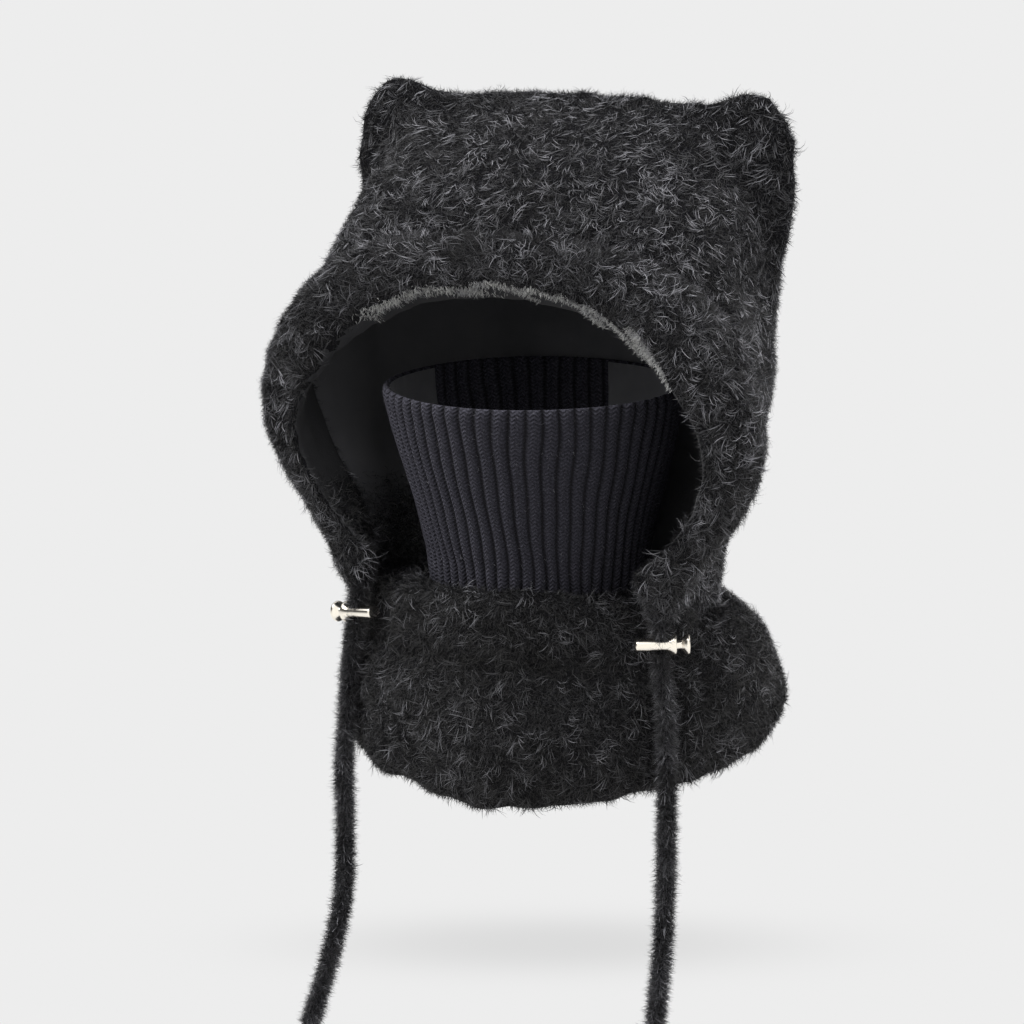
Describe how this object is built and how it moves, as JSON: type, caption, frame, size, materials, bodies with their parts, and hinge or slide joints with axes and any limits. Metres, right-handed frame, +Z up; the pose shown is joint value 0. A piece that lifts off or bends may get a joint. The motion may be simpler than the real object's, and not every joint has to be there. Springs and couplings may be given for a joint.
{
  "type": "hooded_scarf",
  "caption": "Fuzzy black knit hood with cat-ear corners, drawstring brim, ribbed neck tube, shoulder cape and metal cord locks",
  "frame": {"origin": "the inside of the hood's crown, where the top of the wearer's head touches it", "axes": "+Z up, -Y the way the face looks, +X the wearer's left"},
  "size_m": [0.322, 0.2445, 0.5638],
  "materials": {
    "fuzzy_hood_knit": "brushed",
    "fuzzy_cape_knit": "brushed",
    "ribbed_knit": "matte",
    "smooth_lining": "matte",
    "fuzzy_cord": "brushed",
    "polished_metal": "polished"
  },
  "bodies": {
    "scarf": {"hood_shell": "fuzzy_hood_knit", "brim_casing": "fuzzy_hood_knit", "hood_lining": "smooth_lining", "neck_gaiter": "ribbed_knit", "shoulder_cape": "fuzzy_cape_knit", "drawstring_left": "fuzzy_cord", "drawstring_right": "fuzzy_cord", "cord_lock_barrel_left": "polished_metal", "cord_lock_barrel_right": "polished_metal"},
    "plunger_left": {"cord_lock_plunger_left": "polished_metal"},
    "plunger_right": {"cord_lock_plunger_right": "polished_metal"}
  },
  "joints": [
    {"name": "plunger_left_slide", "type": "slide", "parent": "scarf", "child": "plunger_left", "axis": [-0.8601, -0.5101, 0], "range_m": [0, 0.004], "stiffness_N_per_m": 600, "springref_m": -0.003},
    {"name": "plunger_right_slide", "type": "slide", "parent": "scarf", "child": "plunger_right", "axis": [0.9563, -0.2664, 0.1202], "range_m": [0, 0.004], "stiffness_N_per_m": 600, "springref_m": -0.003}
  ]
}
